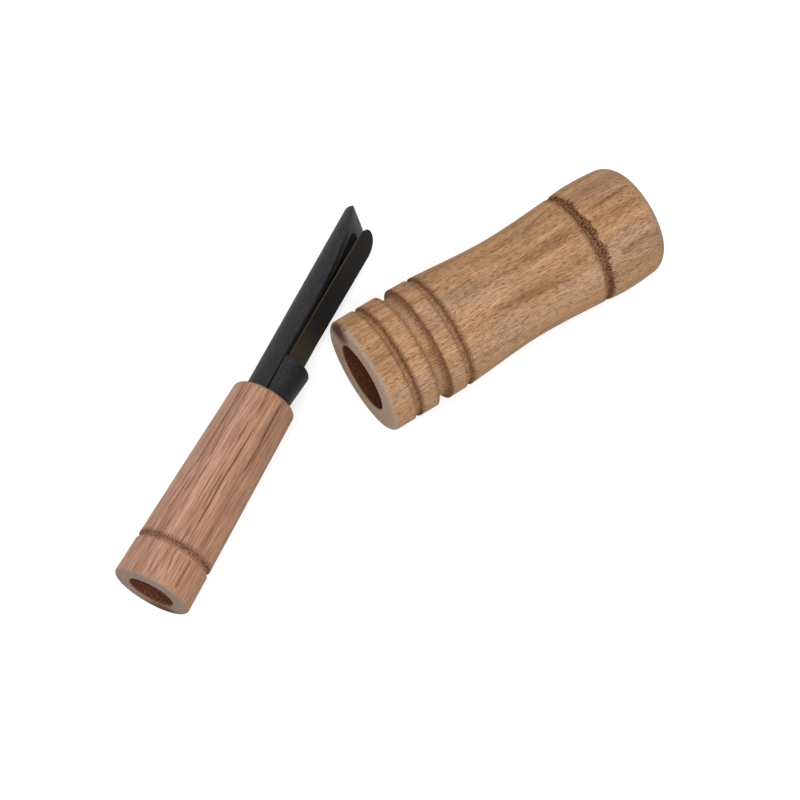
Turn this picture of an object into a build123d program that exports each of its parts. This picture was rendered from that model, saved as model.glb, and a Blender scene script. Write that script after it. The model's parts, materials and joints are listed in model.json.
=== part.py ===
from build123d import *
import os
from math import atan2, cos, degrees, radians, tan

# A wooden reed call taken apart: the barrel lies on the table along X, and the insert with its
# tone board lies beside it, as when the reed has just been cleaned.
# The origin is the middle of the barrel's bore. All sizes are in millimetres and degrees.

# Barrel
barrel_length = 88.9
barrel_bore_radius = 9.5
ring_radius = 16.4  # the bands and the mouthpiece's widest ring, on which the barrel lies
open_end_round = 1.4
bore_edge_break = 0.4  # chamfer at the mouths of the bores
waist_place = 47.1  # places along the barrel are measured from its open end
waist_radius = 14.75
shoulder_radius = 16.25  # where the body starts, under the third groove
shoulder_fall = 0.05  # the body's slope where it leaves the bands
mouth_groove_radius = 15.85
mouth_groove_rise = 0.06  # the body's slope where it reaches the mouthpiece
mouthpiece_length = 20.0  # from the last groove to the mouth end
mouthpiece_crest = 6.8  # from the last groove to the mouthpiece's widest ring
mouthpiece_end_radius = 15.35
mouthpiece_round = 5.2

# Turned grooves on the barrel: two narrow ones on the bands, one before the mouthpiece
first_groove = 7.4
lanyard_groove = 15.65
third_groove = 23.6
narrow_groove_width = 2.0
narrow_groove_depth = 0.75
groove_wall_slope = 65.0  # of the narrow grooves, the insert's too
lanyard_groove_width = 4.1
lanyard_groove_depth = 1.85
lanyard_groove_edge = 0.3  # chamfer on its shoulders

# Insert
insert_length = 60.9
bell_radius = 10.7
spigot_radius = 8.95  # the small end, which goes into the barrel
exit_bore_radius = 6.2
socket_depth = 21.0
bell_round = 0.95
spigot_round = 1.3
bell_groove = 11.3  # from the bell end
bell_groove_width = 1.8
bell_groove_depth = 0.42

# Tone board, measured along its axis from the insert's small end
tone_board_radius = 6.35
tone_board_reach = 61.7
lay_height = 2.0  # the flat under the reed, above the axis
bar_lean = 1.5  # outside the insert the bar leans this much away from the reed
lay_start = 12.5
lay_drop = 3.4  # how far the lay has fallen where it rolls over to the tip
tip_roll = 7.5  # length of that roll
tip_drop = 6.35  # how far the lay has fallen at the tip
tip_round = 0.9
channel_width = 7.1
channel_depth = 5.5
channel_to_tip = 5.4
channel_floor_round = 1.5

# Reed
reed_width = 9.9
reed_thickness = 0.3
reed_to_tip = 4.0  # the reed ends this far behind the tone board's tip
reed_tip_round = 4.7
reed_flex_line = 33.0
reed_heel_depth = 19.0  # how far the heel reaches into the socket

# Wedge
wedge_reach = 11.9
wedge_flare = 0.95
wedge_front_round = 1.3

# Clearances
socket_clearance = 0.05  # tone board and wedge in the socket
stack_clearance = 0.05  # between tone board, reed and wedge
flex_gap = 0.1  # between the reed's clamped and free lengths

# How the insert lies beside the barrel
insert_back = 75.84  # bell end behind the barrel's open end
insert_side = -18.59
insert_turn = 29.85  # between the two axes
lay_tilt = 15.0  # the lay faces sideways, tipped up this much

# The barrel's sketch plane starts at its open end, with local X along the axis
open_end = Plane(
    origin=(-barrel_length / 2, 0, 0), x_dir=(1, 0, 0), z_dir=(0, -1, 0)
)
barrel_axis = Axis.X
mouth_groove = barrel_length - mouthpiece_length

# The insert lies on its taper, so its axis dips towards the small end
insert_dip = degrees(atan2(bell_radius - spigot_radius, insert_length))
bell_height = bell_radius * cos(radians(insert_dip)) - ring_radius


def as_laid(direction):
    """Turns a direction from an insert lying level along X to the insert as it lies."""
    return direction.rotate(Axis.Y, insert_dip).rotate(Axis.Z, insert_turn)


bell_centre = Vector(-barrel_length / 2 - insert_back, insert_side, bell_height)
insert_direction = as_laid(Vector(1, 0, 0))
lay_normal = as_laid(Vector(0, -1, 0).rotate(Axis.X, -lay_tilt))
across_lay = insert_direction.cross(lay_normal)
insert_axis = Axis(bell_centre, insert_direction)
spigot_centre = bell_centre + insert_direction * insert_length

# Sketch planes through the insert's axis: local X along it, local Y along the lay's normal
bell_plane = Plane(origin=bell_centre, x_dir=insert_direction, z_dir=across_lay)
tone_plane = Plane(origin=spigot_centre, x_dir=insert_direction, z_dir=across_lay)


def lay_plane(height):
    """A plane along the lay at a height above the axis, with local X along the axis."""
    return Plane(
        origin=spigot_centre + lay_normal * height,
        x_dir=insert_direction,
        z_dir=lay_normal,
    )


def groove_corners(place, surface, width, depth):
    """Corners of a narrow groove's section, open above the surface that it is turned into."""
    floor = width - 2 * depth / tan(radians(groove_wall_slope))
    return (
        (place - width / 2, surface + depth),
        (place - width / 2, surface),
        (place - floor / 2, surface - depth),
        (place + floor / 2, surface - depth),
        (place + width / 2, surface),
        (place + width / 2, surface + depth),
    )


# Barrel
with BuildPart() as barrel:
    with BuildSketch(open_end):
        with BuildLine():
            Polyline(
                (0, barrel_bore_radius),
                (0, ring_radius),
                (lanyard_groove, ring_radius),
                (third_groove, shoulder_radius),
            )
            Spline(
                (third_groove, shoulder_radius),
                (waist_place, waist_radius),
                (mouth_groove, mouth_groove_radius),
                tangents=((1, -shoulder_fall), (1, mouth_groove_rise)),
            )
            crest = (mouth_groove + mouthpiece_crest, ring_radius)
            TangentArc(
                crest,
                (mouth_groove, mouth_groove_radius),
                tangent=(-1, 0),
            )
            TangentArc(
                crest,
                (barrel_length, mouthpiece_end_radius),
                tangent=(1, 0),
            )
            Polyline(
                (barrel_length, mouthpiece_end_radius),
                (barrel_length, barrel_bore_radius),
                (0, barrel_bore_radius),
            )
        make_face()
    revolve(axis=barrel_axis)
    rims = barrel.edges().filter_by(GeomType.CIRCLE).group_by(Axis.X)
    fillet(rims[0].sort_by(SortBy.RADIUS)[-1], open_end_round)
    rims = barrel.edges().filter_by(GeomType.CIRCLE).group_by(Axis.X)
    fillet(rims[-1].sort_by(SortBy.RADIUS)[-1], mouthpiece_round)
    bore_edges = barrel.edges().filter_by(
        lambda edge: edge.geom_type == GeomType.CIRCLE
        and abs(edge.radius - barrel_bore_radius) < bore_edge_break / 2
    )
    chamfer(bore_edges, bore_edge_break)
    narrow_grooves = (
        (first_groove, ring_radius),
        (third_groove, shoulder_radius),
        (mouth_groove, mouth_groove_radius),
    )
    for place, surface in narrow_grooves:
        with BuildSketch(open_end):
            corners = groove_corners(place, surface, narrow_groove_width, narrow_groove_depth)
            Polygon(*corners, align=None)
        revolve(axis=barrel_axis, mode=Mode.SUBTRACT)
    with BuildSketch(open_end):
        with Locations((lanyard_groove, ring_radius)):
            Ellipse(lanyard_groove_depth, lanyard_groove_width / 2, rotation=90)
    revolve(axis=barrel_axis, mode=Mode.SUBTRACT)
    lanyard_x = open_end.origin.X + lanyard_groove
    shoulders = barrel.edges().filter_by(GeomType.CIRCLE).filter_by_position(
        Axis.X, lanyard_x - lanyard_groove_width, lanyard_x + lanyard_groove_width
    )
    chamfer(shoulders, lanyard_groove_edge)

# Insert
with BuildPart() as insert:
    socket_radius = tone_board_radius + socket_clearance
    with BuildSketch(bell_plane):
        with BuildLine():
            Polyline(
                (0, exit_bore_radius),
                (0, bell_radius),
                (insert_length, spigot_radius),
                (insert_length, socket_radius),
                (insert_length - socket_depth, socket_radius),
                (insert_length - socket_depth, exit_bore_radius),
                close=True,
            )
        make_face()
    revolve(axis=insert_axis)
    rims = insert.edges().filter_by(GeomType.CIRCLE).group_by(insert_axis)
    fillet(rims[0].sort_by(SortBy.RADIUS)[-1], bell_round)
    rims = insert.edges().filter_by(GeomType.CIRCLE).group_by(insert_axis)
    chamfer(rims[0].sort_by(SortBy.RADIUS)[0], bore_edge_break)
    rims = insert.edges().filter_by(GeomType.CIRCLE).group_by(insert_axis)
    fillet(rims[-1].sort_by(SortBy.RADIUS)[-1], spigot_round)
    taper = (bell_radius - spigot_radius) / insert_length
    bell_groove_radius = bell_radius - bell_groove * taper
    with BuildSketch(bell_plane):
        corners = groove_corners(
            bell_groove, bell_groove_radius, bell_groove_width, bell_groove_depth
        )
        Polygon(*corners, align=None)
    revolve(axis=insert_axis, mode=Mode.SUBTRACT)

# Tone board
with BuildPart() as tone_board:
    tone_board_heel = socket_clearance - socket_depth
    heel_centre = spigot_centre + insert_direction * tone_board_heel
    with BuildLine(tone_plane) as bar_axis:
        Polyline(
            (tone_board_heel, 0),
            (0, 0),
            (tone_board_reach, -tone_board_reach * tan(radians(bar_lean))),
        )
    with BuildSketch(Plane(heel_centre, x_dir=lay_normal, z_dir=insert_direction)):
        Circle(tone_board_radius)
    sweep(path=bar_axis.wire(), transition=Transition.RIGHT)
    fillet(tone_board.edges().sort_by(insert_axis)[-1], tip_round)
    above = 2 * tone_board_radius
    lay_break = tone_board_reach - tip_roll
    with BuildSketch(tone_plane):
        with BuildLine():
            flat = Line((tone_board_heel, lay_height), (lay_start, lay_height))
            lay = TangentArc(flat @ 1, (lay_break, lay_height - lay_drop), tangent=flat % 1)
            roll = TangentArc(lay @ 1, (tone_board_reach, lay_height - tip_drop), tangent=lay % 1)
            past_tip = tone_board_reach + tone_board_radius
            Polyline(
                roll @ 1,
                (past_tip, lay_height - tip_drop),
                (past_tip, above),
                (tone_board_heel, above),
                flat @ 0,
            )
        make_face()
    extrude(amount=above, both=True, mode=Mode.SUBTRACT)
    channel_round_centre = tone_board_reach - channel_to_tip - channel_width / 2
    channel_straight = channel_round_centre - tone_board_heel
    with BuildSketch(lay_plane(lay_height - channel_depth)):
        with Locations((tone_board_heel + channel_straight / 2, 0)):
            Rectangle(channel_straight, channel_width)
        with Locations((channel_round_centre, 0)):
            Circle(channel_width / 2)
    extrude(amount=above, mode=Mode.SUBTRACT)
    across = Axis(spigot_centre, lay_normal)
    channel_floor = tone_board.faces().filter_by(across).sort_by(across)[0]
    fillet(channel_floor.edges().sort_by(insert_axis)[1:], channel_floor_round)

# Reed, clamped length and free length
with BuildPart() as reed_heel:
    reed_seat = lay_plane(lay_height + stack_clearance)
    heel_length = reed_heel_depth + reed_flex_line - flex_gap
    with BuildSketch(reed_seat):
        with Locations((heel_length / 2 - reed_heel_depth, 0)):
            Rectangle(heel_length, reed_width)
    extrude(amount=reed_thickness)

with BuildPart() as reed_blade:
    blade_length = tone_board_reach - reed_to_tip - reed_flex_line
    with BuildSketch(reed_seat) as blade_outline:
        with Locations((reed_flex_line + blade_length / 2, 0)):
            Rectangle(blade_length, reed_width)
        fillet(blade_outline.vertices().group_by(Axis.X)[-1], reed_tip_round)
    extrude(amount=reed_thickness)

# Wedge
with BuildPart() as wedge:
    with BuildSketch(tone_plane):
        with BuildLine():
            Polyline(
                (tone_board_heel, 0),
                (tone_board_heel, tone_board_radius),
                (0, tone_board_radius),
                (wedge_reach, tone_board_radius + wedge_flare),
                (wedge_reach, 0),
                close=True,
            )
        make_face()
    revolve(axis=insert_axis)
    fillet(wedge.edges().sort_by(insert_axis)[-1], wedge_front_round)
    wedge_seat = lay_height + reed_thickness + 2 * stack_clearance
    split(bisect_by=lay_plane(wedge_seat), keep=Keep.TOP)

os.makedirs("parts", exist_ok=True)
barrel.part.label = "barrel"
export_step(barrel.part, "parts/barrel.step")
insert.part.label = "insert"
export_step(insert.part, "parts/insert.step")
tone_board.part.label = "tone_board"
export_step(tone_board.part, "parts/tone_board.step")
reed_heel.part.label = "reed_heel"
export_step(reed_heel.part, "parts/reed_heel.step")
reed_blade.part.label = "reed_blade"
export_step(reed_blade.part, "parts/reed_blade.step")
wedge.part.label = "wedge"
export_step(wedge.part, "parts/wedge.step")
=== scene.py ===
import json
from math import atan2, cos, degrees, pi, radians, sin, sqrt, tan
from typing import NamedTuple

import bpy
import numpy as np
from bpy.props import FloatProperty, FloatVectorProperty, IntProperty, PointerProperty
from mathutils import Matrix, Vector, noise


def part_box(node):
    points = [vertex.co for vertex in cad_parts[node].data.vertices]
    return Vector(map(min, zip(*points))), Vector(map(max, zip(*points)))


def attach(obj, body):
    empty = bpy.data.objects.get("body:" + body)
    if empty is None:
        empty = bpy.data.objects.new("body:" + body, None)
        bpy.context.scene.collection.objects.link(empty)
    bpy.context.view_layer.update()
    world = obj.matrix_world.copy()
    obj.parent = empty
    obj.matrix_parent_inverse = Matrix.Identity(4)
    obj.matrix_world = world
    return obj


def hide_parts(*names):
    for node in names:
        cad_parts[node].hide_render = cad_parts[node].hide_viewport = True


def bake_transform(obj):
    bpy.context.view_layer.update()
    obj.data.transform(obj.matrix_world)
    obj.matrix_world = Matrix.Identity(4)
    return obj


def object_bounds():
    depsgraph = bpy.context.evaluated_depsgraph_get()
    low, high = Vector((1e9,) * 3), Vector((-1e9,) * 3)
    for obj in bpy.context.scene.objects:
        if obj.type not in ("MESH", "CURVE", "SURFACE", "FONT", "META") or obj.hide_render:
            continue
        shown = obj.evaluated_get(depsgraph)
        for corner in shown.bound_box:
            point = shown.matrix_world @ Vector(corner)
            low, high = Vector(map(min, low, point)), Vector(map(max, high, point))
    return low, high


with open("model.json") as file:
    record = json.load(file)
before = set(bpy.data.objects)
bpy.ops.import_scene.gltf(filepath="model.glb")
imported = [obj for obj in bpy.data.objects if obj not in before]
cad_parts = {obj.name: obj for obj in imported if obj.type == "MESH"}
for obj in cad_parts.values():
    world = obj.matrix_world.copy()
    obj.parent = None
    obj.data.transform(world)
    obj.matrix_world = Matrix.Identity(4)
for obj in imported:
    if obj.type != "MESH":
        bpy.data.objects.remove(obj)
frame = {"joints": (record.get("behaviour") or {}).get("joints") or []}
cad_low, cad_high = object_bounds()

bl_info = {
    "name": "Wooden bird call",
    "version": (1, 0, 0),
    "blender": (4, 5, 0),
    "location": "View3D > Sidebar > Bird call",
    "description": "Turns the barrel and insert, moulds the tone board and wedge and cuts the reed",
    "category": "Object",
}

MM = 0.001

# Points nearer than the first count as one place, and points nearer than the second are merged
SAME_PLACE = 0.01 * MM
WELD = 0.002 * MM

# Degrees: a sharper crease stays sharp in the shading, and a sharper edge is rounded
WOOD_CREASE = 40
PLASTIC_CREASE = 50
MOULDED_EDGE = 32
FILM_EDGE = 40

# Faces round the plastic stock, rows along the reed, and rows for the torn chips with the share of
# the chips' reach that they cover
STOCK_SIDES = 128
REED_ROWS = 60
CHIP_ROWS = 12
CHIP_SPAN = 1.3

# Where the pieces lie, read from the frame's joints
JOINTS = {joint["name"]: joint for joint in frame["joints"]}
BELL_CENTRE = Vector(JOINTS["insert_twist"]["pos_m"])
INSERT_AXIS = Vector(JOINTS["insert_twist"]["axis"]).normalized()
INSERT_UP = Vector(JOINTS["reed_flex"]["axis"]).normalized()
LAY_NORMAL = INSERT_AXIS.cross(INSERT_UP)
BARREL_LOW, BARREL_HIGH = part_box("barrel")


def frame_of(along, across, up, origin):
    """A piece's own frame as a matrix, from its three axes and its origin."""
    return Matrix.Translation(origin) @ Matrix((along, across, up)).transposed().to_4x4()


def linear(red, green, blue):
    """A display colour from 0 to 255 as the linear values that shaders take."""
    shares = (red / 255, green / 255, blue / 255)
    return tuple(c / 12.92 if c < 0.04045 else ((c + 0.055) / 1.055) ** 2.4 for c in shares)


def size(name, description, millimetres):
    """A length property whose default is given in millimetres."""
    return FloatProperty(
        name=name, description=description, default=millimetres * MM, unit="LENGTH", precision=5
    )


def paint(name, description, red, green, blue):
    """A colour property whose default is given as a display colour."""
    return FloatVectorProperty(
        name=name,
        description=description,
        subtype="COLOR",
        size=3,
        min=0.0,
        max=1.0,
        default=linear(red, green, blue),
    )


def turn(name, description, angle):
    """An angle property whose default is given in degrees."""
    return FloatProperty(
        name=name, description=description, default=radians(angle), subtype="ANGLE"
    )


def amount(name, description, value):
    """A property that is a plain number."""
    return FloatProperty(name=name, description=description, default=value)


def place_at(name, description, x, y, z):
    """A property that is a point, given in millimetres."""
    return FloatVectorProperty(
        name=name,
        description=description,
        size=3,
        default=(x * MM, y * MM, z * MM),
        unit="LENGTH",
    )


class BarrelSizes(bpy.types.PropertyGroup):
    """Sizes of the turned barrel, measured from its open end."""

    bore: size("Bore", "Radius of the bore", 9.5)
    ring: size("Rings", "Radius of the bands and of the mouthpiece's crest", 16.4)
    open_round: size("Open end round", "Round of the rim at the open end", 1.4)
    edge_break: size("Bore edge", "Chamfer at the mouths of the bore", 0.4)
    waist_place: size("Waist place", "Where the body is slimmest", 47.1)
    waist: size("Waist", "Radius of the waist", 14.75)
    shoulder: size("Shoulder", "Radius where the body starts", 16.25)
    shoulder_fall: amount("Shoulder fall", "Slope of the body at its start", 0.05)
    mouth_neck: size("Mouthpiece neck", "Radius where the mouthpiece starts", 15.85)
    neck_rise: amount("Neck rise", "Slope of the body at its end", 0.06)
    mouthpiece: size("Mouthpiece", "Length from the last groove to the mouth end", 20.0)
    crest: size("Crest", "From the last groove to the mouthpiece's widest ring", 6.8)
    mouth_end: size("Mouth end", "Radius towards which the mouthpiece falls", 15.35)
    mouth_round: size("Mouth round", "Round of the mouth end", 5.2)
    first_groove: size("First groove", "Place of the first narrow groove", 7.4)
    lanyard_groove: size("Lanyard groove", "Place of the wide groove", 15.65)
    third_groove: size("Third groove", "Place of the groove at the shoulder", 23.6)
    groove_width: size("Groove width", "Width of a narrow groove", 2.0)
    groove_depth: size("Groove depth", "Depth of a narrow groove", 0.75)
    groove_slope: turn("Groove slope", "Slope of the walls", 65)
    lanyard_width: size("Lanyard groove width", "Width of the wide groove", 4.1)
    lanyard_depth: size("Lanyard groove depth", "Depth of the wide groove", 1.85)
    chip_reach: size("Chips", "How far torn chips run into the mouthpiece", 1.4)
    chip_width: size("Chip width", "Width of a torn chip along the edge", 0.5)
    fibre_lift: size("Groove fibres", "How rough the floors of the grooves are", 0.16)
    steps: IntProperty(name="Steps", description="Faces round the barrel", default=512, min=64)


class InsertSizes(bpy.types.PropertyGroup):
    """Sizes of the turned insert, measured from its bell end."""

    length: size("Length", "From bell end to small end", 60.9)
    bell: size("Bell", "Radius at the bell end", 10.7)
    spigot: size("Small end", "Radius at the end that goes into the barrel", 8.95)
    exit_bore: size("Exit bore", "Radius of the bore", 6.2)
    socket: size("Socket", "Radius of the tone board's socket", 6.4)
    socket_depth: size("Socket depth", "Depth of the tone board's socket", 21.0)
    bell_round: size("Bell round", "Round of the bell end", 0.95)
    spigot_round: size("Small end round", "Round of the small end", 1.3)
    edge_break: size("Bore edge", "Chamfer at the mouth of the bore", 0.4)
    groove: size("Groove", "Place of the narrow groove", 11.3)
    groove_width: size("Groove width", "Width of the groove", 1.8)
    groove_depth: size("Groove depth", "Depth of the groove", 0.42)
    groove_slope: turn("Groove slope", "Slope of the walls", 65)
    fibre_lift: size("Groove fibres", "How rough the floor of the groove is", 0.08)
    steps: IntProperty(name="Steps", description="Faces round the insert", default=384, min=64)


class ToneBoardSizes(bpy.types.PropertyGroup):
    """Sizes of tone board, wedge and reed, measured from the insert's small end."""

    radius: size("Radius", "Radius of the half-round bar", 6.35)
    reach: size("Reach", "From the insert's small end to the tip", 61.7)
    heel: size("Heel", "How deep the tone board sits in its socket", 20.95)
    lean: turn("Lean", "How much the bar leans away from the reed", 1.5)
    lay_height: size("Lay height", "Height of the flat above the axis", 2.0)
    lay_start: size("Lay start", "Where the lay starts to fall", 12.5)
    lay_drop: size("Lay drop", "How far the lay falls before the roll", 3.4)
    tip_roll: size("Tip roll", "Length of the roll to the tip", 7.5)
    tip_drop: size("Tip drop", "How far the lay has fallen at the tip", 6.35)
    tip_round: size("Tip round", "Round of the back of the tip", 0.9)
    channel_width: size("Channel width", "Width of the tone channel", 7.1)
    channel_depth: size("Channel depth", "Depth of the tone channel", 5.5)
    channel_to_tip: size("Channel end", "From the end of the channel to the tip", 5.4)
    channel_round: size("Channel round", "Round of the channel's floor", 1.5)
    edge_round: size("Edges", "Round of the moulded edges", 0.14)
    reed_width: size("Reed width", "Width of the reed", 9.9)
    reed_thickness: size("Reed thickness", "Thickness of the film", 0.3)
    reed_to_tip: size("Reed end", "From the reed's end to the tone board's tip", 4.0)
    reed_round: size("Reed round", "Round of the reed's corners", 4.7)
    reed_heel: size("Reed heel", "How deep the reed sits in the socket", 19.0)
    reed_seat: size("Reed seat", "Film of air under the clamped reed", 0.05)
    reed_rim: size("Reed rim", "Width of the paler cut edge", 0.3)
    reed_edge: size("Reed edges", "Round of the film's edges", 0.06)
    reed_root: size("Reed root", "Length of the paler root in front of the wedge", 16.0)
    bend: size("Bend", "Length over which the reed bends, from its flex line on", 12.0)
    wedge_reach: size("Wedge reach", "How far the wedge stands out of the socket", 11.9)
    wedge_flare: size("Wedge flare", "How much wider the wedge is at its front", 0.95)
    wedge_round: size("Wedge round", "Round of the wedge's front", 1.3)


class BarrelFinish(bpy.types.PropertyGroup):
    """Colours of the barrel's golden brown wood."""

    pale: paint("Pale wood", "Colour of the palest grain", 199, 157, 117)
    middle: paint("Middle wood", "Colour of most of the wood", 186, 144, 103)
    dark: paint("Dark wood", "Colour of the darker bands", 163, 120, 81)
    # Painted shade: a darker, more golden tone on the sides turned away from the light
    shaded_flank: paint("Flank wood", "Colour of the more golden side", 182, 138, 94)
    rose: paint("Rosy wood", "Colour of the greyer, pinker patches", 192, 156, 131)
    pore: paint("Pores", "Colour of the open pores", 112, 72, 42)
    streak: paint("Streaks", "Colour of the dark streaks", 104, 70, 45)
    # The cut ends' own colour, greyed by a painted reflection of the pale surroundings
    end_grain: paint("End grain", "Colour of the cut ends", 184, 162, 145)
    # Partly painted shadow: the bore's oiled wood, darkened for the shade inside the bore
    bore: paint("Bore", "Colour inside the bore", 93, 55, 34)
    # Partly painted shade: darker than the wood for the shade in the grooves, as well as for torn
    # fibres
    groove: paint("Grooves", "Colour of the groove floors", 142, 99, 68)
    torn: paint("Torn fibres", "Colour of torn fibres", 66, 38, 22)
    pore_depth: amount("Pore depth", "How dark the pores show", 0.64)
    grain: amount("Grain", "How short the grain runs, from its usual length at 1", 1.0)
    gloss: amount("Gloss", "Strength of the satin reflection", 0.16)
    # The lit side, round from the top: the painted side shade is least here and grows round from it
    lit_side: turn("Heart", "Side with the least golden wood, round from the top", -12)
    stain: turn("Stain", "Side of the cut end's stain, round from the top", 53)


class InsertFinish(bpy.types.PropertyGroup):
    """Colours of the insert's pinker wood."""

    pale: paint("Pale wood", "Colour of the palest grain", 209, 164, 138)
    middle: paint("Middle wood", "Colour of most of the wood", 189, 144, 119)
    dark: paint("Dark wood", "Colour of the darker bands", 161, 116, 90)
    # Painted shade: a darker, more golden tone on the sides turned away from the light
    shaded_flank: paint("Flank wood", "Colour of the more golden side", 178, 131, 98)
    rose: paint("Rosy wood", "Colour of the greyer, pinker patches", 196, 158, 142)
    pore: paint("Pores", "Colour of the open pores", 120, 78, 55)
    streak: paint("Streaks", "Colour of the dark streaks", 72, 48, 36)
    # The cut ends' own colour, greyed by a painted reflection of the pale surroundings
    end_grain: paint("End grain", "Colour of the cut ends", 150, 134, 123)
    # Partly painted shadow: the bore's oiled wood, darkened for the shade inside the bore
    bore: paint("Bore", "Colour inside the bore", 122, 74, 50)
    # Partly painted shade: darker than the wood for the shade in the groove, as well as for torn
    # fibres
    groove: paint("Grooves", "Colour of the groove floor", 146, 104, 80)
    torn: paint("Torn fibres", "Colour of torn fibres", 80, 50, 34)
    pore_depth: amount("Pore depth", "How dark the pores show", 0.62)
    grain: amount("Grain", "How short the grain runs, from its usual length at 1", 0.1)
    gloss: amount("Gloss", "Strength of the satin reflection", 0.16)
    # The lit side, round from the top: the painted side shade is least here and grows round from it
    lit_side: turn("Heart", "Side with the least golden wood, round from the top", 24)
    stain: turn("Stain", "Side of the cut end's stain, round from the top", 180)


class PlasticFinish(bpy.types.PropertyGroup):
    """Colours of the black plastic and of the reed."""

    black: paint("Black plastic", "Colour of tone board and wedge", 36, 36, 39)
    scuff: paint("Scuffed plastic", "Colour of the rubbed skin", 49, 49, 53)
    # Painted shade: the colour of the lay where it lies in the reed's shadow
    lay: paint("Lay", "Colour of the lay where the reed beats on it", 6, 6, 7)
    film: paint("Reed film", "Colour of the reed", 33, 32, 31)
    film_edge: paint("Reed edge", "Colour of the reed's cut edge", 80, 70, 46)
    film_root: paint("Reed root", "Colour of the reed near the wedge", 70, 63, 43)
    gloss: amount("Gloss", "Strength of the plastic's reflection", 0.3)
    film_gloss: amount("Reed gloss", "Strength of the reed's reflection", 0.07)


class StageSettings(bpy.types.PropertyGroup):
    """Camera, lights and floor."""

    aim: place_at("Aim", "Point on the table at the middle of the view", -35.56, -4.73, -16.4)
    distance: size("Distance", "From the aim to the camera", 552.5)
    azimuth: turn("Azimuth", "Turn of the view", -33.4)
    elevation: turn("Elevation", "Height of the view", 66.0)
    lens: amount("Lens", "Focal length in millimetres on the camera's film", 92.25)
    film: amount("Film", "Width of the camera's film in millimetres", 36.0)
    sky: amount("Sky", "Strength of the even light", 0.72)
    lamp: amount("Lamp", "Power of the soft lamp", 3.0)
    lamp_place: place_at("Lamp place", "Middle of the soft lamp", -300, -340, 740)
    lamp_size: size("Lamp size", "Width of the soft lamp", 700)
    floor_size: size("Floor size", "Width of the floor", 6000)
    floor_paint: paint("Floor", "Colour of the floor", 212, 212, 212)
    floor_glow: amount("Floor glow", "Light of the floor towards the camera", 0.62)


class Streak(NamedTuple):
    """A dark streak along the grain, in millimetres, and degrees round from the top."""

    start: float
    end: float
    angle: float
    sweep: float
    width: float
    depth: float


BARREL_STREAKS = (
    Streak(22, 69, -3, 1, 2.4, 0.32),
    Streak(22, 37, 3, 4, 0.9, 0.45),
    Streak(40, 66, 14, -3, 0.9, 0.4),
    Streak(34, 62, -30, -15, 1.6, 0.32),
    Streak(24, 42, -64, -10, 1.2, 0.35),
    Streak(54, 68, 26, 14, 0.9, 0.4),
    Streak(55.4, 58.8, -43.5, -1, 0.4, 0.8),
    Streak(72, 86, 4, 4, 0.8, 0.6),
    Streak(73, 88, -46, -1, 1.8, 0.5),
    # This wide, shallow row is painted shade on the mouthpiece's upper side rather than a streak in
    # the wood
    Streak(67, 91, 24, 0, 5.5, 0.32),
    Streak(67, 91, -63, 0, 5.0, 0.22),
    Streak(-2, 9, -18, 0, 7.0, 0.32),
    Streak(40, 67, -27, 0, 4.0, 0.2),
    Streak(17, 25, -14, 0, 4.0, 0.16),
)
INSERT_STREAKS = (
    Streak(11, 52, -38, 1, 0.35, 0.9),
    Streak(12, 36, -31, 0, 0.7, 0.45),
    Streak(4, 64, -61, 3, 1.8, 0.35),
    Streak(35, 61, -61.5, 4, 0.32, 0.85),
    Streak(18.5, 27, 13.5, -2, 0.35, 0.9),
    Streak(31, 62, 14, 5, 0.56, 0.6),
    Streak(36, 47, -1, 7, 0.35, 0.4),
    Streak(44, 52, -23, -3, 0.24, 0.5),
    Streak(1, 8.5, -37, 7, 0.42, 0.55),
    Streak(1, 10.5, -55.5, 1, 0.49, 0.7),
    Streak(1, 9, -13, 5, 0.35, 0.45),
)


def settings(name):
    """One of the scene's groups of sizes and finishes."""
    return getattr(bpy.context.scene, "bird_call_" + name)


# Profiles and outlines


def arc(centre, radius, start, end, count):
    """Points on an arc, from one angle to another in degrees, both ends included."""
    angles = [radians(start + (end - start) * i / count) for i in range(count + 1)]
    return [(centre[0] + radius * cos(a), centre[1] + radius * sin(a)) for a in angles]


def tangent_arc(start, heading, end, count):
    """Points after start on the arc that leaves it along heading for end, and its last heading."""
    run = (end[0] - start[0], end[1] - start[1])
    bend = atan2(run[1], run[0]) - heading
    width = sqrt(run[0] ** 2 + run[1] ** 2) / sin(bend)
    points = []
    for i in range(1, count + 1):
        swing = bend * i / count
        reach, angle = width * sin(swing), heading + swing
        points.append((start[0] + reach * cos(angle), start[1] + reach * sin(angle)))
    return points, heading + 2 * bend


def between(start, end, count):
    """Points from start to end, without start, evenly spaced."""
    return [
        (start[0] + (end[0] - start[0]) * i / count, start[1] + (end[1] - start[1]) * i / count)
        for i in range(1, count + 1)
    ]


def groove_shape(sizes):
    """Width, depth and slope of a piece's narrow grooves."""
    return sizes.groove_width, sizes.groove_depth, sizes.groove_slope


def groove_floor_half(width, depth, slope):
    """Half the width of a narrow groove's floor."""
    return width / 2 - depth / tan(slope)


def groove_cut(distance, width, depth, slope):
    """Depth of a narrow groove at a distance from its middle."""
    wall = width / 2 - groove_floor_half(width, depth, slope)
    return depth * min(1.0, max(0.0, (width / 2 - abs(distance)) / wall))


def groove_places(place, width, depth, slope, wall_count, floor_count):
    """Places across a narrow groove, with its corners among them."""
    floor = groove_floor_half(width, depth, slope)
    corners = (place - width / 2, place - floor, place + floor, place + width / 2)
    counts = (wall_count, floor_count, wall_count)
    places = [corners[0]]
    for low, high, count in zip(corners, corners[1:], counts):
        places += [low + (high - low) * i / count for i in range(1, count + 1)]
    return places


# Modelling steps


def select_only(piece):
    """Selects the piece alone and makes it active."""
    bpy.ops.object.select_all(action="DESELECT")
    piece.select_set(True)
    bpy.context.view_layer.objects.active = piece


def name_new(name):
    """Names the object that was just added, and its data."""
    piece = bpy.context.active_object
    piece.name = name
    piece.data.name = name
    return piece


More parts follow.
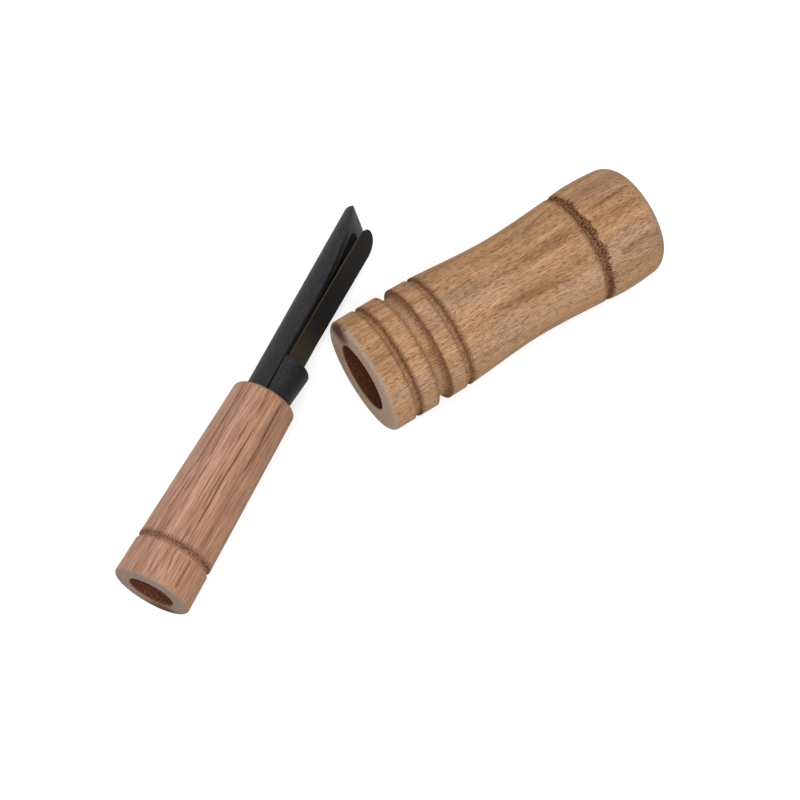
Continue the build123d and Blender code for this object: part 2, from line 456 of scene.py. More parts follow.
def start_piece(name):
    """A new mesh object with one vertex at the origin, in edit mode."""
    bpy.ops.object.select_all(action="DESELECT")
    bpy.ops.mesh.primitive_plane_add(size=MM, location=(0, 0, 0))
    piece = name_new(name)
    bpy.ops.object.mode_set(mode="EDIT")
    bpy.ops.mesh.select_mode(type="VERT")
    bpy.ops.mesh.select_all(action="SELECT")
    bpy.ops.mesh.merge(type="CENTER")
    bpy.ops.mesh.select_all(action="SELECT")
    return piece


def draw_outline(points):
    """Extrudes the one vertex along a row of points in the piece's X and Z."""
    here = Vector((0, 0, 0))
    for i, (along, height) in enumerate(points):
        there = Vector((along, 0, height))
        if i == 0:
            bpy.ops.transform.translate(value=there)
        else:
            bpy.ops.mesh.extrude_vertices_move(TRANSFORM_OT_translate={"value": there - here})
        here = there


def turn_on_lathe(name, profile, steps):
    """A piece turned from a closed profile about its own X axis."""
    piece = start_piece(name)
    draw_outline(profile + profile[:1])
    bpy.ops.mesh.select_all(action="SELECT")
    bpy.ops.mesh.spin(steps=steps, angle=2 * pi, center=(0, 0, 0), axis=(1, 0, 0))
    bpy.ops.mesh.select_all(action="SELECT")
    bpy.ops.mesh.remove_doubles(threshold=WELD)
    bpy.ops.mesh.normals_make_consistent(inside=False)
    bpy.ops.object.mode_set(mode="OBJECT")
    return piece


def positions_of(piece):
    """The piece's vertices as an array of points."""
    flat = np.empty(len(piece.data.vertices) * 3)
    piece.data.vertices.foreach_get("co", flat)
    return flat.reshape(-1, 3)


def mark(piece, name, values):
    """Keeps a value for each vertex, for the finish to read."""
    attribute = piece.data.attributes.new(name, "FLOAT", "POINT")
    attribute.data.foreach_set("value", np.asarray(values, np.float32))


def along_piece(piece, rule):
    """A rule's value at each vertex's place along the piece."""
    places, which = np.unique(positions_of(piece)[:, 0].round(8), return_inverse=True)
    return np.array([rule(float(place)) for place in places])[which]


def smooth_step(values, low, high):
    """Rises smoothly from 0 at low to 1 at high."""
    t = np.clip((values - low) / (high - low), 0.0, 1.0)
    return t * t * (3 - 2 * t)


def apply_modifiers(piece):
    """Applies every modifier of the piece."""
    select_only(piece)
    for modifier in list(piece.modifiers):
        bpy.ops.object.modifier_apply(modifier=modifier.name)


def roughen(piece, name, weights, lift, grain):
    """Raises and sinks the surface by a fine noise where the weights say."""
    group = piece.vertex_groups.new(name=name)
    for index in np.nonzero(weights > 0.01)[0]:
        group.add([int(index)], float(weights[index]), "REPLACE")
    texture = bpy.data.textures.new(name, "CLOUDS")
    texture.noise_scale = grain
    texture.noise_depth = 1
    modifier = piece.modifiers.new(name, "DISPLACE")
    modifier.texture = texture
    modifier.texture_coords = "LOCAL"
    modifier.vertex_group = name
    modifier.strength = lift
    modifier.mid_level = 0.5
    apply_modifiers(piece)


def smooth_shade(piece, angle):
    """Smooth shading, with edges sharper than the angle left sharp."""
    select_only(piece)
    bpy.ops.object.shade_smooth_by_angle(angle=radians(angle))


def put_in_place(piece, place):
    """Moves the piece from its own frame to where it lies, and keeps the place in its mesh."""
    select_only(piece)
    piece.matrix_world = place
    bpy.ops.object.transform_apply(location=True, rotation=True, scale=True)


def cut_away(piece, cutter):
    """Cuts the cutter out of the piece and removes the cutter."""
    modifier = piece.modifiers.new("cut", "BOOLEAN")
    modifier.operation = "DIFFERENCE"
    modifier.solver = "EXACT"
    modifier.object = cutter
    apply_modifiers(piece)
    bpy.data.objects.remove(cutter)


def round_edges(piece, radius, angle):
    """Rounds the moulded edges that are sharper than the angle."""
    modifier = piece.modifiers.new("edges", "BEVEL")
    modifier.width = radius
    modifier.segments = 3
    modifier.limit_method = "ANGLE"
    modifier.angle_limit = radians(angle)
    modifier.miter_outer = "MITER_ARC"
    apply_modifiers(piece)


def finish_piece(piece, material, body, slot, *nodes):
    """Gives a piece its material and its body, and hides the CAD nodes that it stands for. The slot
    is not used.
    """
    piece.data.materials.clear()
    piece.data.materials.append(material)
    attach(piece, body)
    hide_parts(*nodes)


# Shader nodes


def add_node(tree, kind, inputs=None, **values):
    """A node with its settings and inputs: a socket is linked, anything else is set."""
    node = tree.nodes.new(kind)
    for name, value in values.items():
        setattr(node, name, value)
    for key, value in (inputs or {}).items():
        if isinstance(value, bpy.types.NodeSocket):
            tree.links.new(value, node.inputs[key])
        else:
            node.inputs[key].default_value = value
    return node


def calculate(tree, operation, *numbers, clamp=False):
    """The result of a math node."""
    node = add_node(tree, "ShaderNodeMath", dict(enumerate(numbers)), operation=operation)
    node.use_clamp = clamp
    return node.outputs[0]


def vector(tree, operation, *values):
    """A vector math node."""
    return add_node(tree, "ShaderNodeVectorMath", dict(enumerate(values)), operation=operation)


def rising(tree, value, low, high):
    """0 below low, 1 above high and smooth between them."""
    inputs = {"Value": value, "From Min": low, "From Max": high}
    return add_node(tree, "ShaderNodeMapRange", inputs, interpolation_type="SMOOTHSTEP").outputs[0]


def falling(tree, value, low, high):
    """1 below low, 0 above high and smooth between them."""
    return calculate(tree, "SUBTRACT", 1.0, rising(tree, value, low, high))


def stretched(tree, position, along):
    """Position made shorter along the grain, so that a pattern grows longer there."""
    return vector(tree, "MULTIPLY", position, (along, 1.0, 1.0)).outputs[0]


def noise_of(tree, position, scale, detail, roughness=0.5):
    """The value of a noise texture, whose scale counts its cells in a metre."""
    inputs = {"Vector": position, "Scale": scale, "Detail": detail, "Roughness": roughness}
    return add_node(tree, "ShaderNodeTexNoise", inputs).outputs[0]


def tint(tree, factor, below, above, blend="MIX"):
    """One colour mixed over another by a factor."""
    node = tree.nodes.new("ShaderNodeMix")
    node.data_type = "RGBA"
    node.blend_type = blend
    sockets = (node.inputs[0], node.inputs[6], node.inputs[7])
    for socket, value in zip(sockets, (factor, below, above)):
        if isinstance(value, bpy.types.NodeSocket):
            tree.links.new(value, socket)
        elif isinstance(value, float):
            socket.default_value = value
        else:
            socket.default_value = (*value, 1.0)
    return node.outputs[2]


def shade_by(tree, colour, value, low, high):
    """A colour made darker or lighter by a value, from low where it is 0 to high where it is 1."""
    light = calculate(tree, "MULTIPLY_ADD", value, high - low, low)
    grey = add_node(tree, "ShaderNodeCombineColor", {0: light, 1: light, 2: light}).outputs[0]
    return tint(tree, 1.0, colour, grey, "MULTIPLY")


def attribute_of(tree, name):
    """A value kept on the piece's vertices."""
    node = add_node(tree, "ShaderNodeAttribute", attribute_name=name, attribute_type="GEOMETRY")
    return node.outputs["Fac"]


def new_group(name, inputs, outputs):
    """An empty node group with its sockets, and its input and output nodes."""
    group = bpy.data.node_groups.new(name, "ShaderNodeTree")
    for socket, kind in inputs:
        group.interface.new_socket(name=socket, in_out="INPUT", socket_type=kind)
    for socket in outputs:
        group.interface.new_socket(name=socket, in_out="OUTPUT", socket_type="NodeSocketFloat")
    return group, group.nodes.new("NodeGroupInput"), group.nodes.new("NodeGroupOutput")


def wood_figure():
    """Figure of a hardwood with its grain along X: the less Grain is, the longer it runs."""
    if "wood_figure" in bpy.data.node_groups:
        return bpy.data.node_groups["wood_figure"]
    outputs = ("Bands", "Patches", "Fibres", "Pores", "Dots")
    sockets = [("Position", "NodeSocketVector"), ("Grain", "NodeSocketFloat")]
    group, given, result = new_group("wood_figure", sockets, outputs)
    place, grain = given.outputs["Position"], given.outputs["Grain"]
    scale = add_node(group, "ShaderNodeCombineXYZ", {0: grain, 1: 1.0, 2: 1.0}).outputs[0]
    position = vector(group, "MULTIPLY", place, scale).outputs[0]
    slow = {"Vector": stretched(group, position, 0.3), "Scale": 70.0, "Detail": 1.0}
    wander = add_node(group, "ShaderNodeTexNoise", slow).outputs["Color"]
    farthest = (0.0, 1.1 * MM, 1.1 * MM)
    shift = vector(group, "MULTIPLY_ADD", wander, farthest, position).outputs[0]
    bands = noise_of(group, stretched(group, shift, 0.05), 230.0, 4.0, 0.6)
    patches = noise_of(group, stretched(group, shift, 0.3), 75.0, 2.0)
    coarse = noise_of(group, stretched(group, shift, 0.04), 1700.0, 3.0, 0.65)
    fine = noise_of(group, stretched(group, shift, 0.06), 4200.0, 1.0)
    fibres = calculate(group, "MULTIPLY_ADD", coarse, 0.6, calculate(group, "MULTIPLY", fine, 0.4))
    pore_grain = noise_of(group, stretched(group, shift, 0.13), 4500.0, 1.0, 0.4)
    crowd = calculate(group, "MULTIPLY_ADD", bands, 0.2, -0.1)
    edge = calculate(group, "ADD", crowd, 0.543)
    past_edge = calculate(group, "SUBTRACT", pore_grain, edge)
    pores = calculate(group, "MULTIPLY", past_edge, 14.0, clamp=True)
    dots = rising(group, noise_of(group, place, 2100.0, 1.0), 0.46, 0.6)
    for name, value in zip(outputs, (bands, patches, fibres, pores, dots)):
        group.links.new(value, result.inputs[name])
    return group


def grain_streak():
    """How strongly a dark streak shows, which runs along the grain at an angle round X."""
    if "grain_streak" in bpy.data.node_groups:
        return bpy.data.node_groups["grain_streak"]
    numbers = ("Start", "End", "Angle", "Sweep", "Width")
    sockets = [("Position", "NodeSocketVector")] + [(name, "NodeSocketFloat") for name in numbers]
    group, given, result = new_group("grain_streak", sockets, ("Streak",))
    position = given.outputs["Position"]
    start, end, angle, sweep, width = (given.outputs[name] for name in numbers)
    parts = add_node(group, "ShaderNodeSeparateXYZ", {0: position})
    along, across, up = parts.outputs
    flat = vector(group, "MULTIPLY", position, (0.0, 1.0, 1.0)).outputs[0]
    radius = vector(group, "LENGTH", flat).outputs["Value"]
    length = calculate(group, "SUBTRACT", end, start)
    share = calculate(group, "DIVIDE", calculate(group, "SUBTRACT", along, start), length)
    middle = calculate(group, "MULTIPLY_ADD", sweep, share, angle)
    turned = calculate(group, "SUBTRACT", calculate(group, "ARCTAN2", across, up), middle)
    line = add_node(group, "ShaderNodeCombineXYZ", {0: along, 1: angle, 2: 0.0}).outputs[0]
    waver = calculate(group, "SUBTRACT", noise_of(group, line, 70.0, 2.0), 0.5)
    aside = calculate(group, "MULTIPLY", turned, radius)
    aside = calculate(group, "MULTIPLY_ADD", waver, 0.9 * MM, aside)
    inner = calculate(group, "MULTIPLY", width, 0.1)
    near = falling(group, calculate(group, "ABSOLUTE", aside), inner, width)
    starts = rising(group, share, 0.0, 0.16)
    ends = falling(group, share, 0.84, 1.0)
    fibres = noise_of(group, stretched(group, position, 0.07), 1500.0, 2.0)
    broken = rising(group, fibres, 0.3, 0.56)
    broken = calculate(group, "MULTIPLY_ADD", broken, 0.5, 0.5)
    streak = calculate(group, "MULTIPLY", calculate(group, "MULTIPLY", starts, ends), near)
    group.links.new(calculate(group, "MULTIPLY", streak, broken), result.inputs["Streak"])
    return group


def new_material(name):
    """A new material, with its tree, its shader and the place on the piece."""
    material = bpy.data.materials.new(name)
    material.use_nodes = True
    tree = material.node_tree
    where = add_node(tree, "ShaderNodeTexCoord").outputs["Object"]
    return material, tree, tree.nodes["Principled BSDF"], where


def add_bump(tree, skin, height, strength, distance):
    """Lets a height stand out of the surface in the light."""
    inputs = {"Height": height, "Strength": strength, "Distance": distance}
    bump = add_node(tree, "ShaderNodeBump", inputs)
    tree.links.new(bump.outputs[0], skin.inputs["Normal"])


def wood_material(name, place, finish, streaks, stain_radius):
    """Satin wood of one straight-grained blank, with its cut ends, stain, bore and grooves. Painted
    shade darkens the sides turned from the light and, in part, the bore and the grooves, and a
    painted reflection greys the cut ends.
    """
    material, tree, skin, where = new_material(name)
    turned = {"Vector": where, "Location": place.to_translation(), "Rotation": place.to_euler()}
    position = add_node(tree, "ShaderNodeMapping", turned, vector_type="TEXTURE").outputs[0]
    figure = add_node(tree, "ShaderNodeGroup", node_tree=wood_figure())
    tree.links.new(position, figure.inputs["Position"])
    figure.inputs["Grain"].default_value = finish.grain
    bands, patches, fibres, pores, dots = figure.outputs
    end_grain, bore, groove, torn = (
        attribute_of(tree, name) for name in ("end_grain", "bore", "groove", "torn")
    )

    colour = tint(tree, rising(tree, bands, 0.33, 0.5), finish.dark, finish.middle)
    colour = tint(tree, rising(tree, bands, 0.5, 0.7), colour, finish.pale)
    rosy = calculate(tree, "MULTIPLY", rising(tree, patches, 0.45, 0.65), 0.7)
    colour = tint(tree, rosy, colour, finish.rose)
    from_axis = vector(tree, "MULTIPLY", position, (0.0, 1.0, 1.0)).outputs[0]
    outward = vector(tree, "NORMALIZE", from_axis).outputs[0]
    # Painted shade: away from the lit side the wood turns to the flank colour, as if that side lay
    # in shade
    lit_side = (0.0, sin(finish.lit_side), cos(finish.lit_side))
    facing = vector(tree, "DOT_PRODUCT", outward, lit_side).outputs["Value"]
    golden = calculate(tree, "MULTIPLY", falling(tree, facing, 0.2, 0.85), 0.75)
    colour = tint(tree, golden, colour, finish.shaded_flank)
    for streak in streaks:
        values = {
            "Start": streak.start * MM,
            "End": streak.end * MM,
            "Angle": radians(streak.angle),
            "Sweep": radians(streak.sweep),
            "Width": streak.width * MM,
        }
        lines = add_node(tree, "ShaderNodeGroup", node_tree=grain_streak())
        tree.links.new(position, lines.inputs["Position"])
        for socket, value in values.items():
            lines.inputs[socket].default_value = value
        dark = calculate(tree, "MULTIPLY", lines.outputs["Streak"], streak.depth)
        colour = tint(tree, dark, colour, finish.streak)
    colour = shade_by(tree, colour, fibres, 0.15, 1.85)
    colour = tint(tree, calculate(tree, "MULTIPLY", pores, finish.pore_depth), colour, finish.pore)
    # The cut ends take their own colour, greyed by a painted reflection
    cut = tint(tree, calculate(tree, "MULTIPLY", dots, 0.35), finish.end_grain, finish.pore)
    stain = Vector((0, sin(finish.stain), cos(finish.stain))) * stain_radius
    distance = vector(tree, "DISTANCE", position, stain).outputs["Value"]
    ragged = calculate(tree, "MULTIPLY_ADD", patches, 3.0 * MM, distance)
    ragged = calculate(tree, "MULTIPLY_ADD", dots, -2.0 * MM, ragged)
    cut = tint(tree, falling(tree, ragged, 3.4 * MM, 8.8 * MM), cut, finish.torn)
    colour = tint(tree, calculate(tree, "MULTIPLY", end_grain, 0.9), colour, cut)
    # The grooves take a darker colour that is partly torn fibres and partly painted shade in the
    # recess
    rough = tint(tree, calculate(tree, "MULTIPLY", dots, 0.95), finish.groove, finish.torn)
    frayed = calculate(tree, "MULTIPLY_ADD", dots, 0.9, 0.08)
    frayed = tint(tree, frayed, finish.groove, finish.torn)
    colour = tint(tree, calculate(tree, "MULTIPLY", groove, 0.85), colour, rough)
    # The bore's colour is partly the wood and partly painted shadow inside the bore
    shaded_bore = shade_by(tree, tint(tree, dots, finish.bore, finish.torn), fibres, 0.3, 1.7)
    colour = tint(tree, bore, colour, shaded_bore)
    colour = tint(tree, torn, colour, frayed)
    tree.links.new(colour, skin.inputs["Base Color"])

    dull = calculate(tree, "MULTIPLY_ADD", fibres, 0.16, 0.4)
    rough_places = calculate(tree, "MAXIMUM", calculate(tree, "MAXIMUM", groove, bore), end_grain)
    dull = calculate(tree, "MULTIPLY_ADD", rough_places, 0.35, dull, clamp=True)
    tree.links.new(dull, skin.inputs["Roughness"])
    height = calculate(tree, "MULTIPLY_ADD", pores, -1.0, calculate(tree, "MULTIPLY", fibres, 0.6))
    add_bump(tree, skin, height, 0.5, 0.05 * MM)
    skin.inputs["Specular IOR Level"].default_value = finish.gloss
    return material


def plastic_material(name, finish):
    """Black moulded plastic with a fine satin skin, and dull black painted shade on the lay under
    the reed.
    """
    material, tree, skin, where = new_material(name)
    rubbed = noise_of(tree, where, 900.0, 4.0, 0.6)
    # Painted shade: the lay attribute darkens the lay under the reed
    lay = attribute_of(tree, "lay")
    colour = tint(tree, rising(tree, rubbed, 0.4, 0.75), finish.black, finish.scuff)
    tree.links.new(tint(tree, lay, colour, finish.lay), skin.inputs["Base Color"])
    skin.inputs["Specular IOR Level"].default_value = finish.gloss
    dull = calculate(tree, "MULTIPLY_ADD", rubbed, 0.12, 0.36)
    dull = calculate(tree, "MULTIPLY_ADD", lay, 0.5, dull, clamp=True)
    tree.links.new(dull, skin.inputs["Roughness"])
    add_bump(tree, skin, noise_of(tree, where, 5200.0, 2.0), 0.25, 0.03 * MM)
    return material


def film_material(name, finish):
    """Dark polyester film with a paler cut edge and root."""
    material, tree, skin, where = new_material(name)
    smudge = noise_of(tree, where, 160.0, 3.0)
    edge = attribute_of(tree, "cut_edge")
    root = tint(tree, attribute_of(tree, "root"), finish.film, finish.film_root)
    tree.links.new(tint(tree, edge, root, finish.film_edge), skin.inputs["Base Color"])
    tree.links.new(calculate(tree, "MULTIPLY_ADD", smudge, 0.2, 0.3), skin.inputs["Roughness"])
    skin.inputs["Specular IOR Level"].default_value = finish.film_gloss
    return material


# Pieces


def body_radius(sizes, place, end):
    """Radius of the waisted body, a smooth curve through shoulder, waist and neck."""
    start, middle = sizes.third_groove, sizes.waist_place
    first, second = middle - start, end - middle
    fall, rise = -sizes.shoulder_fall, sizes.neck_rise
    climb = (sizes.waist - sizes.shoulder) * second / first
    climb += (sizes.mouth_neck - sizes.waist) * first / second
    slope = (3 * climb - second * fall - first * rise) / (2 * (first + second))
    if place < middle:
        low, span, ends, slopes = start, first, (sizes.shoulder, sizes.waist), (fall, slope)
    else:
        low, span, ends, slopes = middle, second, (sizes.waist, sizes.mouth_neck), (slope, rise)
    t = (place - low) / span
    return (
        (2 * t**3 - 3 * t**2 + 1) * ends[0]
        + (t**3 - 2 * t**2 + t) * span * slopes[0]
        + (3 * t**2 - 2 * t**3) * ends[1]
        + (t**3 - t**2) * span * slopes[1]
    )


def barrel_skin(sizes, place, length):
    """Radius of the barrel's outside before its grooves are cut."""
    mouth_groove = length - sizes.mouthpiece
    crest = mouth_groove + sizes.crest
    if place <= sizes.lanyard_groove:
        return sizes.ring
    if place <= sizes.third_groove:
        t = (place - sizes.lanyard_groove) / (sizes.third_groove - sizes.lanyard_groove)
        return sizes.ring + (sizes.shoulder - sizes.ring) * t
    if place <= mouth_groove:
        return body_radius(sizes, place, mouth_groove)
    if place <= crest:
        fall = sizes.ring - sizes.mouth_neck
        reach = sizes.crest
    else:
        fall = sizes.ring - sizes.mouth_end
        reach = length - crest
    bow = (reach**2 + fall**2) / (2 * fall)
    return sizes.ring - bow + sqrt(bow**2 - (place - crest) ** 2)


def barrel_cut(sizes, place, length):
    """Depth of the barrel's grooves at a place along it."""
    narrow = (sizes.first_groove, sizes.third_groove, length - sizes.mouthpiece)
    cut = max(groove_cut(place - groove, *groove_shape(sizes)) for groove in narrow)
    across = (place - sizes.lanyard_groove) / (sizes.lanyard_width / 2)
    if abs(across) < 1:
        cut = max(cut, sizes.lanyard_depth * sqrt(1 - across**2))
    return cut


def barrel_profile(sizes, length):
    """The barrel's closed profile, from the open end's bore edge round the outside and back."""
    mouth_groove = length - sizes.mouthpiece
    crest = mouth_groove + sizes.crest
    fall = sizes.ring - sizes.mouth_end
    bow = ((length - crest) ** 2 + fall**2) / (2 * fall)
    round_place = length - sizes.mouth_round
    past_crest = round_place - crest
    round_height = sqrt((bow - sizes.mouth_round) ** 2 - past_crest**2) + sizes.ring - bow
    lean = atan2(round_height - sizes.ring + bow, past_crest)
    outside_end = round_place + sizes.mouth_round * cos(lean)

    profile = [(sizes.edge_break, sizes.bore), (0.0, sizes.bore + sizes.edge_break)]
    profile += between(profile[-1], (0.0, sizes.ring - sizes.open_round), 8)
    rim = (sizes.open_round, sizes.ring - sizes.open_round)
    profile += arc(rim, sizes.open_round, 180, 90, 8)[1:]

    places = [profile[-1][0]]
    cut = groove_shape(sizes)
    cove_half = sizes.lanyard_width / 2
    cove = [sizes.lanyard_groove - cove_half * cos(pi * i / 18) for i in range(19)]
    chip_edge = mouth_groove + sizes.groove_width / 2
    chip_span = CHIP_SPAN * sizes.chip_reach
    chips = [chip_edge + chip_span * i / CHIP_ROWS for i in range(1, CHIP_ROWS + 1)]
    # Each stretch of the outside: the places where it stops, and the steps that lead there
    spans = (
        (groove_places(sizes.first_groove, *cut, 3, 5), 6),
        (cove, 5),
        (groove_places(sizes.third_groove, *cut, 3, 5), 6),
        (groove_places(mouth_groove, *cut, 4, 7) + chips, 34),
        ([outside_end], 16),
    )
    for stops, count in spans:
        places += [x for x, _ in between((places[-1], 0), (stops[0], 0), count)]
        places += stops[1:]
    profile += [
        (x, barrel_skin(sizes, x, length) - barrel_cut(sizes, x, length)) for x in places[1:]
    ]
    profile += arc((round_place, round_height), sizes.mouth_round, degrees(lean), 0, 14)[1:]
    profile += between(profile[-1], (length, sizes.bore + sizes.edge_break), 3)
    profile.append((length - sizes.edge_break, sizes.bore))
    profile += between(profile[-1], profile[0], 12)[:-1]
    return profile


def barrel_groove_shade_and_grain(sizes, place, length):
    """How dark the turned grooves are, partly from torn end grain and partly painted shade in the
    recess, most on the walls that face the open end, with a dark line at the edge on the open-end
    side.
    """
    narrow_half, wide_half = sizes.groove_width / 2, sizes.lanyard_width / 2
    # Place, half width, least darkness, and how far towards the open end the dark wall starts
    grooves = (
        (sizes.first_groove, narrow_half, 0.3, 0.5),
        (sizes.lanyard_groove, wide_half, 0.05, 0.25),
        (sizes.third_groove, narrow_half, 0.3, 0.5),
        (length - sizes.mouthpiece, narrow_half, 0.35, 2.5),
    )
    dark = 0.0
    for groove, half, least, from_side in grooves:
        across = (place - groove) / half
        if abs(across) < 1.02:
            wall = float(smooth_step(np.array(across), -from_side, 1.2 - from_side))
            # A painted dark line along the groove's edge on the open-end side
            edge = 0.7 * float(1 - smooth_step(np.array(across), -0.95, -0.75))
            dark = max(dark, edge, least + (1 - least) * wall)
    return dark


def tear_chips(piece, sizes, length):
    """Tears fibres out of the mouthpiece's groove edge, and tells how torn each point is."""
    points = positions_of(piece)
    edge = length - sizes.mouthpiece + sizes.groove_width / 2
    torn = np.zeros(len(points))
    radius = np.hypot(points[:, 1], points[:, 2])
    last_row = edge + CHIP_SPAN * sizes.chip_reach + SAME_PLACE
    near = (points[:, 0] > edge - 1.4 * MM) & (points[:, 0] < last_row) & (radius > sizes.waist)
    for i in np.nonzero(near)[0]:
        x, y, z = points[i]
        around = atan2(y, z) * sizes.mouth_neck / sizes.chip_width
        spike = noise.noise((around, 0.0, 7.3)) + 0.6 * noise.noise((around * 2.3, 4.1, 1.7))
        patch = noise.noise((around * 0.13, 9.2, 3.3))
        reach = sizes.chip_reach * max(0.0, 0.3 + 0.75 * spike + 0.5 * patch)
        tear_end = edge + reach
        part = 1.0 - float(smooth_step(np.array(x), tear_end - 0.1 * MM, tear_end + 0.14 * MM))
        cut = barrel_cut(sizes, x, length)
        depth = sizes.groove_depth * (0.55 + 0.3 * noise.noise((around * 1.7, x / MM * 1.2, 5.0)))
        sink = max(0.0, part * depth - cut)
        floor = float(smooth_step(np.array(x), edge - 1.3 * MM, edge - 0.7 * MM))
        torn[i] = part if x > edge - SAME_PLACE else floor
        scale = (radius[i] - sink) / radius[i]
        piece.data.vertices[i].co = (x, y * scale, z * scale)
    return torn


class BIRDCALL_OT_barrel(bpy.types.Operator):
    """Turns the barrel with its grooves and torn fibres"""

    bl_idname = "birdcall.barrel"
    bl_label = "Barrel"

    def execute(self, context):
        sizes = settings("barrel")
        length = BARREL_HIGH.x - BARREL_LOW.x
        barrel = turn_on_lathe("barrel_wood", barrel_profile(sizes, length), sizes.steps)
        points = positions_of(barrel)
        radius = np.hypot(points[:, 1], points[:, 2])
        cut = along_piece(barrel, lambda place: barrel_cut(sizes, place, length))
        outside = smooth_step(radius, sizes.bore + 2 * MM, sizes.bore + 3 * MM)
        floors = smooth_step(cut, 0.05 * MM, 0.5 * MM) * outside
        # Groove darkening: partly torn end grain, partly painted shade in the recess
        groove = along_piece(barrel, lambda place: barrel_groove_shade_and_grain(sizes, place, length))
        open_face = 1 - smooth_step(points[:, 0], 0.1 * MM, sizes.open_round)
        mouth_face = smooth_step(points[:, 0], length - 1.5 * MM, length)
        end_grain = np.maximum(open_face * (radius > sizes.bore), mouth_face)
        bore = 1 - smooth_step(radius, sizes.bore + 0.05 * MM, sizes.bore + 0.35 * MM)
        torn = tear_chips(barrel, sizes, length)
        roughen(barrel, "groove_fibres", np.maximum(floors, torn), sizes.fibre_lift, 0.35 * MM)
        mark(barrel, "groove", groove * outside)
        mark(barrel, "end_grain", end_grain)
        mark(barrel, "bore", bore)
        mark(barrel, "torn", torn)
        smooth_shade(barrel, WOOD_CREASE)
        place = Matrix.Translation((BARREL_LOW.x, 0, 0))
        put_in_place(barrel, place)
        finish = settings("barrel_finish")
        stain_radius = sizes.ring - 1.5 * MM
        material = wood_material("barrel_wood", place, finish, BARREL_STREAKS, stain_radius)
        finish_piece(barrel, material, "barrel", "barrel_wood", "barrel")
        return {"FINISHED"}


def insert_profile(sizes):
    """The insert's closed profile, from the bell end's bore edge round the outside and back."""
    taper = (sizes.bell - sizes.spigot) / sizes.length

    def skin(place):
        cut = groove_cut(place - sizes.groove, *groove_shape(sizes))
        return sizes.bell - taper * place - cut

    profile = [(sizes.edge_break, sizes.exit_bore), (0.0, sizes.exit_bore + sizes.edge_break)]
    profile += between(profile[-1], (0.0, sizes.bell - sizes.bell_round), 5)
    bell_rim = (sizes.bell_round, sizes.bell - sizes.bell_round)
    profile += arc(bell_rim, sizes.bell_round, 180, 90, 7)[1:]
    profile[-1] = (sizes.bell_round, skin(sizes.bell_round))
    cut = groove_places(sizes.groove, *groove_shape(sizes), 3, 5)
    places = [x for x, _ in between(profile[-1], (cut[0], 0), 10)] + cut[1:]
    places += [x for x, _ in between((cut[-1], 0), (sizes.length - sizes.spigot_round, 0), 36)]
    profile += [(x, skin(x)) for x in places]
    spigot_rim = (sizes.length - sizes.spigot_round, profile[-1][1] - sizes.spigot_round)
    profile += arc(spigot_rim, sizes.spigot_round, 90, 0, 8)[1:]
    profile += between(profile[-1], (sizes.length, sizes.socket), 3)
    profile += between(profile[-1], (sizes.length - sizes.socket_depth, sizes.socket), 4)
    profile.append((sizes.length - sizes.socket_depth, sizes.exit_bore))
    profile += between(profile[-1], profile[0], 8)[:-1]
    return profile


class BIRDCALL_OT_insert(bpy.types.Operator):
    """Turns the tapered insert with its bore, socket and groove"""

    bl_idname = "birdcall.insert"
    bl_label = "Insert"

    def execute(self, context):
        sizes = settings("insert")
        insert = turn_on_lathe("insert_wood", insert_profile(sizes), sizes.steps)
        points = positions_of(insert)
        radius = np.hypot(points[:, 1], points[:, 2])
        shape = groove_shape(sizes)
        cut = along_piece(insert, lambda place: groove_cut(place - sizes.groove, *shape))
        outside = smooth_step(radius, sizes.socket + MM, sizes.socket + 1.5 * MM)
        floor = smooth_step(cut, 0.05 * MM, 0.35 * MM) * outside
        # Groove darkening, rising across the groove towards the small end: partly torn end grain,
        # partly painted shade
        across = (points[:, 0] - sizes.groove) / (sizes.groove_width / 2)
        groove = smooth_step(across, -1.0, 0.2) * (np.abs(across) < 1.02) * outside
        ends = 1 - smooth_step(points[:, 0], 0.05 * MM, sizes.bell_round)
        ends = np.maximum(ends, smooth_step(points[:, 0], sizes.length - 0.6 * MM, sizes.length))
        bore = 1 - smooth_step(radius, sizes.socket - 0.1 * MM, sizes.socket + 0.1 * MM)
        roughen(insert, "groove_fibres", floor, sizes.fibre_lift, 0.35 * MM)
        mark(insert, "groove", groove)
        mark(insert, "end_grain", ends * (radius > sizes.exit_bore + 0.05 * MM))
        mark(insert, "bore", bore)
        mark(insert, "torn", np.zeros(len(points)))
        smooth_shade(insert, WOOD_CREASE)
        place = frame_of(INSERT_AXIS, -LAY_NORMAL, INSERT_UP, BELL_CENTRE)
        put_in_place(insert, place)
        finish = settings("insert_finish")
        material = wood_material("insert_wood", place, finish, INSERT_STREAKS, sizes.bell)
        finish_piece(insert, material, "insert", "insert_wood", "insert")
        return {"FINISHED"}


def tone_frame():
    """The tone board's own frame: X from the insert's end along its axis, Z out of the lay."""
    origin = BELL_CENTRE + INSERT_AXIS * settings("insert").length
    return frame_of(INSERT_AXIS, INSERT_UP, LAY_NORMAL, origin)


def round_bar(name, radius, start, end, sides):
    """A round bar along the piece's own X axis, with a ring of edges at its origin."""
    bpy.ops.object.select_all(action="DESELECT")
    bpy.ops.mesh.primitive_cylinder_add(
        vertices=sides,
        radius=radius,
        depth=end - start,
        location=((start + end) / 2, 0, 0),
        rotation=(0, pi / 2, 0),
    )
    bar = name_new(name)
    bpy.ops.object.transform_apply(location=True, rotation=True, scale=True)
    bpy.ops.object.mode_set(mode="EDIT")
    bpy.ops.mesh.select_all(action="SELECT")
    bpy.ops.mesh.bisect(plane_co=(0, 0, 0), plane_no=(1, 0, 0))
    bpy.ops.object.mode_set(mode="OBJECT")
    return bar


